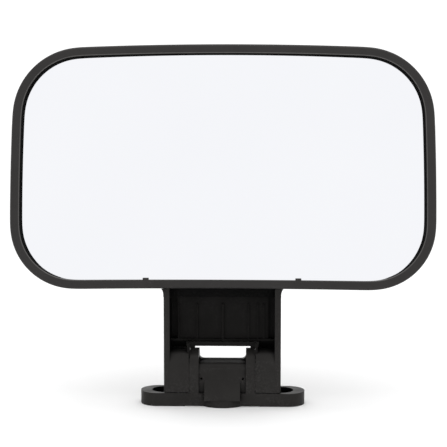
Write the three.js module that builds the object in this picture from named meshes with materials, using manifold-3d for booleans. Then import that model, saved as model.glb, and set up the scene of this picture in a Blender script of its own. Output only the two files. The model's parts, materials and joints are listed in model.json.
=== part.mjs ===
// Bracket-mounted convex mirror: a rounded rectangular head on a ribbed arm that tilts on a two-ear base.
// Millimetres, +X to the viewer's right, +Z up, the mirror faces -Y.
// The origin is the middle of the base's underside.

import * as THREE from 'three';
import { mergeVertices } from 'three/addons/utils/BufferGeometryUtils.js';
import Module from 'manifold-3d';

const wasm = await Module();
wasm.setup();

// ---------- driving dimensions ----------

const GAP = 0.3; // clearance kept between touching pieces
const CUT = 1; // how far a cutting tool runs past a face

// Head outline, in the head's own upright frame: x across, z up from its lower edge, y into its depth.
const HEAD_WIDTH = 250;
const HEAD_HEIGHT = 144;
const TOP_RADIUS = 41;
const LOWER_RADIUS = 37.6;
const TOP_BOW = 1.6; // how far the middle of the top edge stands above its ends
const LOWER_BOW = 0.7; // how far the middle of the lower edge stands above its ends
const SIDE_BOW = 0.4;
const SIDE_TAPER = 0.9; // each side's top end lies this much further in than its lower end
const HEAD_LEAN = 7.5; // degrees the head leans back on the upright arm
const HEAD_Y = -17; // front lower edge of the head
const HEAD_Z = 71.2;

// Layers of the head. Each layer follows the glass, so its depth is given on the head's axis.
const GLASS_RADIUS = 1800; // radius of the convex glass
const GLASS = { front: -0.6, back: 1.9 };
const PAD = { front: GLASS.back + GAP, back: 3.7 };
const CARRIER = { front: PAD.back + GAP, back: 6 };
const LENS_REACH = 129; // a little more than the head's axis to its furthest corner
const OPENING_INSET = 5.7;
const OPENING_CHAMFER = 0.6;
const POCKET_INSET = 4.4;
const GLASS_INSET = POCKET_INSET + GAP;
const SEAL_WIDTH = 5;
const BEZEL_DEPTH = 13;
const BEZEL_EDGE = 0.9;
const TAB = { x: 44.6, width: 3.2, rise: 0.8, root: 1.4, front: 0, depth: 0.8 };
const TONGUE = { width: 12, reach: 1.2, front: 0.3, back: 1.8, sideHeights: [54, 92], edgeX: 62 };

// Rear housing.
const HOUSING_INSET = 0.4;
const HOUSING_WALL = 2.8;
const HOUSING_BACK = 34;
const HOUSING_ROUND = 17;
const HOUSING_FRONT = BEZEL_DEPTH + GAP;
const LAND = { halfWidth: 36, front: 14, back: 27.6, low: 0.6, high: 8.5 };

// Screws that hold the rear housing to the glass carrier.
const REAR_SCREW = { head: 3, headHeight: 2.2, shank: 1.5, seat: 26, tip: 14.8 };
const CROSS = { halfLength: 1.7, halfWidth: 0.35, depth: 1 }; // the recess in each screw's head
const REAR_POST = 4.8;
const REAR_WELL = 3.4;
const CARRIER_BOSS = 4;
const CARRIER_BOSS_BACK = 20;
const REAR_SCREW_PLACES = [[-92, 36], [0, 20], [92, 36], [-92, 107], [0, 123], [92, 107]];

// Tilt arm and its hinge. The hinge axis runs along X.
const PIVOT_Z = 23;
const ARM_HALF_WIDTH = 34.75;
const ARM_HALF_DEPTH = 10.3;
const ARM_TOP = 0.25; // height of the arm's top face in the head's frame
const ARM_FLARE = { height: 3, width: 1.4, start: 4.5 };
const CHEEK_RADIUS = 14.5;
const CHEEK_INNER = 19.9;
const CHEEK_BROW = { radius: 7.8, start: 27.3 }; // each cheek's front rounds back above this height
const BRIDGE = { bottom: 34.6, front: -1, cornerInner: 16.6, cornerBottom: 33.7 };
const RECESS = { halfWidth: 31.1, slotFloor: 7.6, high: 65, roofFront: -4.5 };
const PANEL = { halfWidth: 27.3, front: 3.6, low: 38.4, high: 63.6 };
const LIP_THICKNESS = 1.2;
const HOLLOW = { inner: 21.6, front: -2.5, low: 31 }; // open space behind each cheek's brow
const RIB_DEPTH = 2.2;
const RIB_WIDTH = 1.3;
const RIB_STOP = 5; // how far the ribs end below the panel's top edge
const RIBS = [-26.4, -15.4, 0, 15.4, 20.9, 24.6];
const ARM_SCREW = { head: 3, headHeight: 1.8, shank: 1.7, tip: 7.2, y: 18, wall: 1.8, faceDepth: 3.2 };
const ARM_SCREW_PLACES = [-20.5, -7, 7, 20.5];

// Pivot bolt, M6, with its head held in a hexagonal pocket in the left cheek.
const BOLT = { radius: 2.95, bore: 3.25, headIn: 28.5, headOut: 32.5, end: 32.6 };
const HEAD_FLATS = 10;
const HEAD_POCKET = { flats: 10.6, floor: 28.2 };
const NUT = { inner: 27.1, outer: 32.8 };
const SPRING = { inner: 25.6, outer: 26.8, radius: 5.9 };
const WASHER = { inner: 23.7, outer: 25.3, radius: 6 };
const NUT_WELL = { floor: 23.4, radius: 6.5 };
const CAP = { inner: 33.2, outer: 34.6, radius: 7, wellFloor: 33 };

// Base bracket.
const PLATE = { halfLength: 49.1, halfDepth: 10.3, low: 0.4, high: 7.9 };
const EAR_PAD_START = 22.3;
const BOSS = { radius: 15.5, height: 4.1 };
const LUG = { inner: 14, outer: 19.3, radius: 10.3 };
const BARREL_RADIUS = 4.2;
const BARREL_FILLET = { run: 2.8, root: 0.6, depth: 2 }; // where the barrel meets each lug
const WEB = { front: 8.6, top: 26, round: 3.2, sideFront: 8, sideTop: 16.6 };
const GUSSET = { halfWidth: 10.6, top: 16 };
const GUSSET_TOE = [[14, 4.1], [11.8, 7.9], [9.4, 11.5]]; // how far forward the gusset stands, and how high
const MOUNT_HOLE = { x: 35, seatRadius: 7.4, boltRadius: 4.5, seatHeight: 3.4 }; // for M8 button-head screws
const FRICTION = { inner: 18.4, outer: 19.6, radius: 8, pocketFloor: 18.1, pocketRadius: 8.3 };

// ---------- materials ----------

const blackPlastic = () => new THREE.MeshStandardMaterial({ color: 0x1f1e1e, roughness: 0.55, metalness: 0 });
const rimPlastic = () => new THREE.MeshStandardMaterial({ color: 0x262525, roughness: 0.5, metalness: 0 });
const silver = () => new THREE.MeshStandardMaterial({ color: 0xf4f5f7, roughness: 0.03, metalness: 1 });
const rubber = () => new THREE.MeshStandardMaterial({ color: 0x121212, roughness: 0.9, metalness: 0 });
const foam = () => new THREE.MeshStandardMaterial({ color: 0x3a3a3c, roughness: 1, metalness: 0 });
const steel = () => new THREE.MeshStandardMaterial({ color: 0xb9bcc0, roughness: 0.32, metalness: 1 });
const blackSteel = () => new THREE.MeshStandardMaterial({ color: 0x1c1c1d, roughness: 0.45, metalness: 0.6 });
const acetal = () => new THREE.MeshStandardMaterial({ color: 0x262626, roughness: 0.5, metalness: 0 });

// ---------- solids ----------

function solid(geometry) {
  const plain = geometry.index ? geometry.toNonIndexed() : geometry.clone();
  plain.deleteAttribute('normal');
  plain.deleteAttribute('uv');
  const merged = mergeVertices(plain, 1e-4);
  const mesh = new wasm.Mesh({
    numProp: 3,
    vertProperties: new Float32Array(merged.attributes.position.array),
    triVerts: new Uint32Array(merged.index.array),
  });
  return new wasm.Manifold(mesh);
}

function toGeometry(body) {
  const mesh = body.getMesh();
  const geometry = new THREE.BufferGeometry();
  geometry.setAttribute('position', new THREE.BufferAttribute(mesh.vertProperties, 3));
  geometry.setIndex(new THREE.BufferAttribute(mesh.triVerts, 1));
  geometry.computeVertexNormals();
  return geometry;
}

const join = (first, ...others) => others.reduce((sum, other) => sum.add(other), first);
const cut = (first, ...others) => others.reduce((rest, other) => rest.subtract(other), first);

function piece(name, body, material) {
  const mesh = new THREE.Mesh(toGeometry(body), material);
  mesh.name = name;
  return mesh;
}

function box(x0, x1, y0, y1, z0, z1) {
  const geometry = new THREE.BoxGeometry(x1 - x0, y1 - y0, z1 - z0);
  return solid(geometry.translate((x0 + x1) / 2, (y0 + y1) / 2, (z0 + z1) / 2));
}

// A cylinder along X, Y or Z from one position on that axis to another.
function rod(axis, radius, from, to, at, segments = 32) {
  const geometry = new THREE.CylinderGeometry(radius, radius, to - from, segments);
  geometry.translate(0, (from + to) / 2, 0);
  if (axis === 'x') geometry.rotateZ(-Math.PI / 2);
  if (axis === 'z') geometry.rotateX(Math.PI / 2);
  return solid(geometry.translate(...at));
}

// A shape drawn in x and z, filled from yFront back to yBack.
function slab(shape, yFront, yBack, bevel = 0, curveSegments = 8) {
  const geometry = new THREE.ExtrudeGeometry(shape, {
    depth: yBack - yFront - 2 * bevel,
    curveSegments,
    bevelEnabled: bevel > 0,
    bevelSize: bevel,
    bevelThickness: bevel,
    bevelOffset: -bevel,
    bevelSegments: bevel > 2 ? 5 : 1,
  });
  geometry.rotateX(Math.PI / 2);
  return solid(geometry.translate(0, yBack - bevel, 0));
}

// A shape drawn in y and z, filled across from x0 to x1.
function across(shape, x0, x1, curveSegments = 16) {
  const geometry = new THREE.ExtrudeGeometry(shape, { depth: x1 - x0, curveSegments, bevelEnabled: false });
  geometry.rotateX(Math.PI / 2);
  geometry.rotateZ(Math.PI / 2);
  return solid(geometry.translate(x0, 0, 0));
}

function polygon(points) {
  return new THREE.Shape(points.map(([a, b]) => new THREE.Vector2(a, b)));
}

// ---------- head ----------

// The head's outline, drawn inwards by an inset: four round corners joined by shallow bows.
function headOutline(inset) {
  const lowerX = HEAD_WIDTH / 2 - SIDE_BOW / 2 - LOWER_RADIUS;
  const topX = HEAD_WIDTH / 2 - SIDE_BOW / 2 - SIDE_TAPER - TOP_RADIUS;
  const topZ = HEAD_HEIGHT - TOP_BOW - TOP_RADIUS;
  const sideX = HEAD_WIDTH / 2 - SIDE_TAPER / 2 + SIDE_BOW - inset;
  const middleZ = (LOWER_RADIUS + topZ) / 2;
  const topEdge = HEAD_HEIGHT + TOP_BOW - inset;
  const lowerEnd = lowerX + LOWER_RADIUS - inset;
  const topEnd = topX + TOP_RADIUS - inset;
  const shape = new THREE.Shape();
  shape.moveTo(-lowerX, inset);
  shape.quadraticCurveTo(0, inset + 2 * LOWER_BOW, lowerX, inset);
  shape.absarc(lowerX, LOWER_RADIUS, LOWER_RADIUS - inset, -Math.PI / 2, 0);
  shape.quadraticCurveTo(sideX, middleZ, topEnd, topZ);
  shape.absarc(topX, topZ, TOP_RADIUS - inset, 0, Math.PI / 2);
  shape.quadraticCurveTo(0, topEdge, -topX, topZ + TOP_RADIUS - inset);
  shape.absarc(-topX, topZ, TOP_RADIUS - inset, Math.PI / 2, Math.PI);
  shape.quadraticCurveTo(-sideX, middleZ, -lowerEnd, LOWER_RADIUS);
  shape.absarc(-lowerX, LOWER_RADIUS, LOWER_RADIUS - inset, Math.PI, 1.5 * Math.PI);
  return shape;
}

// How far the convex glass has fallen back at a distance from the head's axis.
const sag = (distance) => GLASS_RADIUS - Math.sqrt(GLASS_RADIUS ** 2 - distance ** 2);
const sagAt = (x, z) => sag(Math.hypot(x, z - HEAD_HEIGHT / 2));

// A dished disc between two depths on the head's axis, both faces following the glass.
function lens({ front, back }) {
  const rings = 6;
  const points = [];
  for (let i = 0; i <= rings; i += 1) {
    const r = (LENS_REACH * i) / rings;
    points.push(new THREE.Vector2(r, front + sag(r)));
  }
  for (let i = rings; i >= 0; i -= 1) {
    const r = (LENS_REACH * i) / rings;
    points.push(new THREE.Vector2(r, back + sag(r)));
  }
  const geometry = new THREE.LatheGeometry(points, 44);
  return solid(geometry.translate(0, 0, HEAD_HEIGHT / 2));
}

function makeGlass() {
  const outline = slab(headOutline(GLASS_INSET), -CUT, HOUSING_BACK);
  return piece('mirror_glass', outline.intersect(lens(GLASS)), silver());
}

function makeSeal() {
  const outer = slab(headOutline(GLASS_INSET), -CUT, HOUSING_BACK);
  const inner = slab(headOutline(GLASS_INSET + SEAL_WIDTH), -2 * CUT, HOUSING_BACK + CUT);
  return piece('glass_seal', cut(outer, inner).intersect(lens(PAD)), rubber());
}

function makeFoam() {
  const outline = slab(headOutline(GLASS_INSET + SEAL_WIDTH + GAP), -CUT, HOUSING_BACK);
  return piece('foam_pad', outline.intersect(lens(PAD)), foam());
}

// Snap tongues along the carrier's edge, or the pockets that take them when grown by a gap.
function tongues(grow) {
  const half = TONGUE.width / 2 + grow;
  const reach = TONGUE.reach + grow;
  const tongue = (x, z, halfX, halfZ) => {
    const y = CARRIER.front + sagAt(x, z);
    return box(x - halfX, x + halfX, y + TONGUE.front - grow, y + TONGUE.back + grow, z - halfZ, z + halfZ);
  };
  const sideX = HEAD_WIDTH / 2 - GLASS_INSET;
  const bodies = [];
  for (const side of [-1, 1]) {
    bodies.push(...TONGUE.sideHeights.map((z) => tongue(side * sideX, z, reach, half)));
    bodies.push(tongue(side * TONGUE.edgeX, GLASS_INSET, half, reach));
    bodies.push(tongue(side * TONGUE.edgeX, HEAD_HEIGHT - GLASS_INSET, half, reach));
  }
  return bodies;
}

function makeCarrier() {
  const outline = slab(headOutline(GLASS_INSET), -CUT, HOUSING_BACK);
  let body = outline.intersect(lens(CARRIER));
  body = join(body, ...tongues(0));
  for (const [x, z] of REAR_SCREW_PLACES) {
    const root = (CARRIER.front + CARRIER.back) / 2 + sagAt(x, z);
    const pilot = REAR_SCREW.tip - 2 * GAP;
    body = body.add(rod('y', CARRIER_BOSS, root, CARRIER_BOSS_BACK, [x, 0, z], 20));
    body = body.subtract(rod('y', REAR_SCREW.shank + GAP, pilot, CARRIER_BOSS_BACK + CUT, [x, 0, z], 14));
  }
  return piece('glass_carrier', body, blackPlastic());
}

function makeBezel() {
  const outside = slab(headOutline(0), 0, BEZEL_DEPTH, BEZEL_EDGE, 9);
  const opening = slab(headOutline(OPENING_INSET), -CUT, BEZEL_DEPTH + CUT, 0, 9);
  const mouth = slab(headOutline(OPENING_INSET - OPENING_CHAMFER), -2 * OPENING_CHAMFER, OPENING_CHAMFER,
    OPENING_CHAMFER, 9);
  const behindGlassFace = lens({ front: GLASS.front - GAP, back: HOUSING_BACK });
  const pocket = slab(headOutline(POCKET_INSET), -CUT, BEZEL_DEPTH + CUT, 0, 9).intersect(behindGlassFace);
  let body = cut(outside, opening, mouth, pocket, ...tongues(GAP));
  const sill = OPENING_INSET + LOWER_BOW;
  const half = TAB.width / 2;
  const back = TAB.front + TAB.depth;
  for (const x of [-TAB.x, TAB.x]) {
    body = body.add(box(x - half, x + half, TAB.front, back, sill - TAB.root, sill + TAB.rise));
  }
  return piece('front_bezel', body, rimPlastic());
}

function makeHousing() {
  const front = HOUSING_FRONT;
  const reach = HEAD_WIDTH;
  const before = box(-reach, reach, -reach, front, -reach, reach);
  const outer = slab(headOutline(HOUSING_INSET), front - 2 * HOUSING_ROUND, HOUSING_BACK, HOUSING_ROUND);
  const innerRound = HOUSING_ROUND - HOUSING_WALL;
  const inner = slab(headOutline(HOUSING_INSET + HOUSING_WALL), front - 2 * HOUSING_ROUND,
    HOUSING_BACK - HOUSING_WALL, innerRound);
  const land = box(-LAND.halfWidth, LAND.halfWidth, LAND.front, LAND.back, LAND.low, LAND.high);
  let body = cut(outer, inner, before).add(land);
  for (const [x, z] of REAR_SCREW_PLACES) {
    const at = [x, 0, z];
    const post = rod('y', REAR_POST, CARRIER_BOSS_BACK + GAP, HOUSING_BACK - HOUSING_WALL / 2, at, 20);
    const well = rod('y', REAR_WELL, REAR_SCREW.seat, HOUSING_BACK + CUT, at, 20);
    const hole = rod('y', REAR_SCREW.shank + GAP, CARRIER_BOSS_BACK - CUT, REAR_SCREW.seat + CUT, at, 14);
    body = cut(body.add(post), well, hole);
  }
  for (const x of ARM_SCREW_PLACES) {
    const at = [x, ARM_SCREW.y, 0];
    const pilot = rod('z', ARM_SCREW.shank + GAP, LAND.low - CUT, ARM_SCREW.tip + GAP, at, 14);
    body = body.subtract(pilot);
  }
  return piece('rear_housing', body, blackPlastic());
}

function makeRearScrews() {
  return REAR_SCREW_PLACES.map(([x, z], i) => {
    const seat = REAR_SCREW.seat + GAP;
    const head = rod('y', REAR_SCREW.head, seat, seat + REAR_SCREW.headHeight, [x, 0, z], 20);
    const shank = rod('y', REAR_SCREW.shank, REAR_SCREW.tip, seat + REAR_SCREW.headHeight / 2, [x, 0, z], 12);
    const top = seat + REAR_SCREW.headHeight;
    const low = top - CROSS.depth;
    const slot = (halfX, halfZ) => box(x - halfX, x + halfX, low, top + CUT, z - halfZ, z + halfZ);
    const wide = slot(CROSS.halfLength, CROSS.halfWidth);
    const tall = slot(CROSS.halfWidth, CROSS.halfLength);
    return piece(`rear_screw_${i + 1}`, cut(head.add(shank), wide, tall), steel());
  });
}

function makeArmScrews() {
  return ARM_SCREW_PLACES.map((x, i) => {
    const at = [x, ARM_SCREW.y, 0];
    const seat = ARM_TOP - ARM_SCREW.wall - GAP;
    const head = rod('z', ARM_SCREW.head, seat - ARM_SCREW.headHeight, seat, at, 20);
    const shank = rod('z', ARM_SCREW.shank, seat - ARM_SCREW.headHeight / 2, ARM_SCREW.tip, at, 12);
    return piece(`arm_screw_${i + 1}`, head.add(shank), blackSteel());
  });
}

// ---------- arm ----------

// The place of the head's own frame on the upright arm.
function headPlace() {
  const lean = new THREE.Matrix4().makeRotationX(-THREE.MathUtils.degToRad(HEAD_LEAN));
  return new THREE.Matrix4().makeTranslation(0, HEAD_Y, HEAD_Z).multiply(lean);
}

// Brings a body from the head's frame into the arm's.
function onHead(body) {
  return solid(toGeometry(body).applyMatrix4(headPlace()));
}

// The arm's side view: a flat front, and a lower rear corner that is round about the hinge.
function armSide() {
  const d = ARM_HALF_DEPTH;
  const rise = Math.sqrt(CHEEK_RADIUS ** 2 - d ** 2);
  const shape = new THREE.Shape();
  shape.moveTo(-d, PIVOT_Z - CHEEK_RADIUS);
  shape.lineTo(0, PIVOT_Z - CHEEK_RADIUS);
  shape.absarc(0, PIVOT_Z, CHEEK_RADIUS, -Math.PI / 2, -Math.atan2(rise, d));
  shape.lineTo(d, HEAD_Z + 2 * ARM_FLARE.height);
  shape.lineTo(-d, HEAD_Z + 2 * ARM_FLARE.height);
  return shape;
}

// The arm's front view: straight sides that flare out into the head.
function armFront() {
  const w = ARM_HALF_WIDTH;
  const wide = w + ARM_FLARE.width;
  const low = HEAD_Z - ARM_FLARE.start;
  const bend = low + ARM_FLARE.height;
  const high = HEAD_Z + 2 * ARM_FLARE.height;
  const shape = new THREE.Shape();
  shape.moveTo(-w, 0);
  shape.lineTo(w, 0);
  shape.lineTo(w, low);
  shape.quadraticCurveTo(w, bend, wide, bend + 1);
  shape.lineTo(wide, high);
  shape.lineTo(-wide, high);
  shape.lineTo(-wide, bend + 1);
  shape.quadraticCurveTo(-w, bend, -w, low);
  return shape;
}

// The space in front of a cheek's brow, which rounds back from the cheek's front face.
function browCut(x0, x1) {
  const { radius, start } = CHEEK_BROW;
  const before = -ARM_HALF_DEPTH - CUT;
  const back = radius - ARM_HALF_DEPTH;
  const shape = new THREE.Shape();
  shape.moveTo(before, start);
  shape.lineTo(-ARM_HALF_DEPTH, start);
  shape.absarc(back, start, radius, Math.PI, Math.PI / 2, true);
  shape.lineTo(back, PANEL.low);
  shape.lineTo(before, PANEL.low);
  return across(shape, x0, x1, 8);
}

// What is cut from the arm's front: the panel's bay, the slots round it and the space above the cheeks.
function recessCuts() {
  const before = -ARM_HALF_DEPTH - CUT;
  const { halfWidth, slotFloor, high, roofFront } = RECESS;
  const underLip = PANEL.low - LIP_THICKNESS;
  const bodies = [
    box(-halfWidth, halfWidth, before, PANEL.front, underLip, high),
    box(-halfWidth, halfWidth, PANEL.front - CUT, slotFloor, PANEL.high, high),
    box(-halfWidth, halfWidth, before, roofFront, high - CUT, HEAD_Z + ARM_FLARE.height),
  ];
  for (const side of [-1, 1]) {
    const outer = side * halfWidth;
    const strip = (inner, y0, y1, z0, z1) =>
      box(Math.min(inner, outer), Math.max(inner, outer), y0, y1, z0, z1);
    bodies.push(strip(side * PANEL.halfWidth, PANEL.front - CUT, slotFloor, PANEL.low, high));
    bodies.push(strip(side * HOLLOW.inner, HOLLOW.front, slotFloor, HOLLOW.low, underLip));
    bodies.push(browCut(Math.min(side * CHEEK_INNER, outer), Math.max(side * CHEEK_INNER, outer)));
  }
  return bodies;
}

function makeArm() {
  const d = ARM_HALF_DEPTH;
  const w = ARM_HALF_WIDTH;
  const reach = w + ARM_FLARE.width + CUT;
  const full = across(armSide(), -reach, reach).intersect(slab(armFront(), -d - CUT, d + CUT, 0, 4));
  const past = reach + CUT;
  const aboveTop = onHead(box(-past, past, HEAD_Y - HOUSING_BACK, 2 * HOUSING_BACK, ARM_TOP, HEAD_Z));
  const yoke = box(-CHEEK_INNER, CHEEK_INNER, -d - CUT, d + CUT, 0, BRIDGE.cornerBottom);
  const window = box(-BRIDGE.cornerInner, BRIDGE.cornerInner, -d - CUT, d + CUT, 0, BRIDGE.bottom);
  const frontOfBridge = box(-CHEEK_INNER, CHEEK_INNER, -d - CUT, BRIDGE.front, 0, PANEL.low);
  let body = cut(full, aboveTop, yoke, window, frontOfBridge, ...recessCuts());
  const lip = box(-RECESS.halfWidth, RECESS.halfWidth, PANEL.front - RIB_DEPTH, PANEL.front + CUT,
    PANEL.low - LIP_THICKNESS, PANEL.low);
  body = body.add(lip);
  for (const x of RIBS) {
    const rib = box(x - RIB_WIDTH / 2, x + RIB_WIDTH / 2, PANEL.front - RIB_DEPTH, PANEL.front + CUT,
      PANEL.low - LIP_THICKNESS / 2, PANEL.high - RIB_STOP);
    body = body.add(rib);
  }
  for (const x of ARM_SCREW_PLACES) {
    const at = [x, ARM_SCREW.y, 0];
    const seat = ARM_TOP - ARM_SCREW.wall;
    const hole = onHead(rod('z', ARM_SCREW.shank + GAP, seat - CUT, ARM_TOP + CUT, at, 14));
    const face = onHead(rod('z', ARM_SCREW.head + GAP, seat - ARM_SCREW.faceDepth, seat, at, 20));
    body = cut(body, hole, face);
  }
  return piece('tilt_arm', cut(body, ...hingeCuts()), blackPlastic());
}

// The bolt's bore through both cheeks and the wells for its head, its nut and the two caps.
function hingeCuts() {
  const at = [0, 0, PIVOT_Z];
  const w = ARM_HALF_WIDTH;
  const bore = rod('x', BOLT.bore, -w, w, at, 28);
  const headPocket = hexagon(HEAD_POCKET.flats, -w - CUT, -HEAD_POCKET.floor);
  const nutWell = rod('x', NUT_WELL.radius, NUT_WELL.floor, w + CUT, at, 28);
  const capLeft = rod('x', CAP.radius + GAP, -w - CUT, -CAP.wellFloor, at, 32);
  const capRight = rod('x', CAP.radius + GAP, CAP.wellFloor, w + CUT, at, 32);
  return [bore, headPocket, nutWell, capLeft, capRight];
}

function hexagon(flats, x0, x1) {
  return rod('x', flats / Math.sqrt(3), x0, x1, [0, 0, PIVOT_Z], 6);
}

// ---------- hinge hardware ----------

function makeBolt() {
  const at = [0, 0, PIVOT_Z];
  const head = hexagon(HEAD_FLATS, -BOLT.headOut, -BOLT.headIn);
  const shank = rod('x', BOLT.radius, -BOLT.headIn - CUT, BOLT.end, at, 24);
  return piece('pivot_bolt', head.add(shank), steel());
}

function ring(name, outer, bore, x0, x1, material) {
  const at = [0, 0, PIVOT_Z];
  const disc = rod('x', outer, x0, x1, at, 28);
  return piece(name, disc.subtract(rod('x', bore, x0 - CUT, x1 + CUT, at, 24)), material);
}

function makeNut() {
  const body = hexagon(HEAD_FLATS, NUT.inner, NUT.outer);
  const bore = rod('x', BOLT.bore, NUT.inner - CUT, NUT.outer + CUT, [0, 0, PIVOT_Z], 24);
  return piece('lock_nut', body.subtract(bore), steel());
}

function makeCaps() {
  const at = [0, 0, PIVOT_Z];
  const left = rod('x', CAP.radius, -CAP.outer, -CAP.inner, at, 32);
  const right = rod('x', CAP.radius, CAP.inner, CAP.outer, at, 32);
  return [piece('pivot_cap_left', left, blackPlastic()), piece('pivot_cap_right', right, blackPlastic())];
}

function makeHingeHardware() {
  const { inner, outer, radius } = FRICTION;
  return [
    makeBolt(),
    makeNut(),
    ring('spring_washer', SPRING.radius, BOLT.bore, SPRING.inner, SPRING.outer, steel()),
    ring('flat_washer', WASHER.radius, BOLT.bore, WASHER.inner, WASHER.outer, steel()),
    ring('friction_washer_left', radius, BOLT.bore, -outer, -inner, acetal()),
    ring('friction_washer_right', radius, BOLT.bore, inner, outer, acetal()),
    ...makeCaps(),
  ];
}

// ---------- base bracket ----------

function basePlate() {
  const { halfLength, halfDepth, low, high } = PLATE;
  const endX = halfLength - halfDepth;
  const shape = new THREE.Shape();
  shape.moveTo(-endX, -halfDepth);
  shape.lineTo(endX, -halfDepth);
  shape.absarc(endX, 0, halfDepth, -Math.PI / 2, Math.PI / 2);
  shape.lineTo(-endX, halfDepth);
  shape.absarc(-endX, 0, halfDepth, Math.PI / 2, 1.5 * Math.PI);
  const geometry = new THREE.ExtrudeGeometry(shape, { depth: high, curveSegments: 20, bevelEnabled: false });
  const relief = box(-EAR_PAD_START, EAR_PAD_START, -halfDepth - CUT, halfDepth + CUT, -CUT, low);
  const boss = rod('z', BOSS.radius, 0, BOSS.height, [0, 0, 0], 48);
  return solid(geometry).subtract(relief).add(boss);
}

// The web between the lugs: an upright front, a rounded shoulder and a barrel about the bolt.
function webShape() {
  const { front, top, round } = WEB;
  const r = BARREL_RADIUS;
  const rise = Math.asin((top - PIVOT_Z) / r);
  const shape = new THREE.Shape();
  shape.moveTo(-front, BOSS.height);
  shape.lineTo(front, BOSS.height);
  shape.lineTo(front, top - round);
  shape.absarc(front - round, top - round, round, 0, Math.PI / 2);
  shape.absarc(0, PIVOT_Z, r, rise, Math.PI - rise);
  shape.absarc(round - front, top - round, round, Math.PI / 2, Math.PI);
  return shape;
}

function barrelFillet(side) {
  const top = PIVOT_Z + BARREL_RADIUS;
  const { run, root, depth } = BARREL_FILLET;
  const corner = polygon([
    [side * (LUG.inner - run), top - root],
    [side * (LUG.inner + CUT), top + run + CUT],
    [side * (LUG.inner + CUT), top - depth],
  ]);
  return slab(corner, -BARREL_RADIUS / 2, BARREL_RADIUS / 2);
}

// The web, and the gusset that spreads from its front onto the boss.
function webAndGusset() {
  const { front, sideFront, sideTop } = WEB;
  const toe = GUSSET_TOE.map(([out, z]) => [-out, z]);
  const gusset = polygon([[0, CUT], ...toe, [-front, GUSSET.top], [0, GUSSET.top]]);
  let web = across(webShape(), -LUG.inner - CUT, LUG.inner + CUT, 6);
  for (const side of [-1, 1]) {
    const x0 = Math.min(side * GUSSET.halfWidth, side * LUG.inner);
    const x1 = Math.max(side * GUSSET.halfWidth, side * LUG.inner);
    web = web.subtract(box(x0, x1, -front - CUT, -sideFront, PLATE.high, sideTop));
  }
  return join(web, across(gusset, -GUSSET.halfWidth, GUSSET.halfWidth), barrelFillet(-1), barrelFillet(1));
}

function lug(side) {
  const x0 = Math.min(side * LUG.inner, side * LUG.outer);
  const x1 = Math.max(side * LUG.inner, side * LUG.outer);
  const disc = rod('x', LUG.radius, x0, x1, [0, 0, PIVOT_Z], 40);
  const post = box(x0, x1, -LUG.radius, LUG.radius, PLATE.high - CUT, PIVOT_Z);
  const ends = [side * FRICTION.pocketFloor, side * (LUG.outer + CUT)];
  const pocket = rod('x', FRICTION.pocketRadius, Math.min(...ends), Math.max(...ends), [0, 0, PIVOT_Z], 32);
  return cut(disc.add(post), pocket);
}

function makeBase() {
  const at = [0, 0, PIVOT_Z];
  const { x, seatRadius, boltRadius, seatHeight } = MOUNT_HOLE;
  let body = join(basePlate(), webAndGusset(), lug(-1), lug(1));
  body = body.subtract(rod('x', BOLT.bore, -LUG.outer - CUT, LUG.outer + CUT, at, 28));
  for (const side of [-1, 1]) {
    body = body.subtract(rod('z', seatRadius, seatHeight, PLATE.high + CUT, [side * x, 0, 0], 32));
    body = body.subtract(rod('z', boltRadius, -CUT, seatHeight + CUT, [side * x, 0, 0], 24));
  }
  return piece('base_bracket', body, blackPlastic());
}

// ---------- assembly ----------

const head = new THREE.Group();
head.add(makeBezel(), makeGlass(), makeSeal(), makeFoam(), makeCarrier(), makeHousing());
head.add(...makeRearScrews(), ...makeArmScrews());
headPlace().decompose(head.position, head.quaternion, head.scale);

const mirror = new THREE.Group();
mirror.add(makeBase(), makeArm(), ...makeHingeHardware(), head);

export default mirror;
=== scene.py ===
"""Bracket-mounted convex mirror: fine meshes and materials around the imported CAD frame.

Metres, +X to the viewer's right, +Z up, the mirror faces -Y.
"""

import json
import math

import bmesh
import bpy
from mathutils import Matrix, Vector


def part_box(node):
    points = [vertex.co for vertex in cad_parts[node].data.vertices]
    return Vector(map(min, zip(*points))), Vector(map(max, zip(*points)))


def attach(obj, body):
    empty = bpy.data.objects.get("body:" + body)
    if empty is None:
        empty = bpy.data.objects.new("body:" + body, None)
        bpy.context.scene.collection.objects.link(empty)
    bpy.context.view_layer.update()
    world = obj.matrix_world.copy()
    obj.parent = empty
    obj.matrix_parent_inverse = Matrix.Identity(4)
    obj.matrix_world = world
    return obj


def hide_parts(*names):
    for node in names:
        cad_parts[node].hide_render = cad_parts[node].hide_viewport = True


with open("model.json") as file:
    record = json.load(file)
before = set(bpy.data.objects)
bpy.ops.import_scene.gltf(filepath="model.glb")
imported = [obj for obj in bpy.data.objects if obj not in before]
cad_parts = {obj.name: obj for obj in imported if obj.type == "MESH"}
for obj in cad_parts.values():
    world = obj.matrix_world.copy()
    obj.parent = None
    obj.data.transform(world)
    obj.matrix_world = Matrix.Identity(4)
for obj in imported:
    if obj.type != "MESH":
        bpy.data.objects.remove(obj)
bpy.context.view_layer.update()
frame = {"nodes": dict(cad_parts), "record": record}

MM = 0.001
GAP = 0.3 * MM  # clearance kept between touching pieces
PAST = 1 * MM  # how far a tool runs past a face, or a shape into the next one

# ---------- sizes read from the frame ----------

CAP_LOW, CAP_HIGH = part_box("pivot_cap_right")
PIVOT_Z = (CAP_LOW.z + CAP_HIGH.z) / 2
CAP_RADIUS = (CAP_HIGH.z - CAP_LOW.z) / 2

# ---------- head ----------

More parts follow.
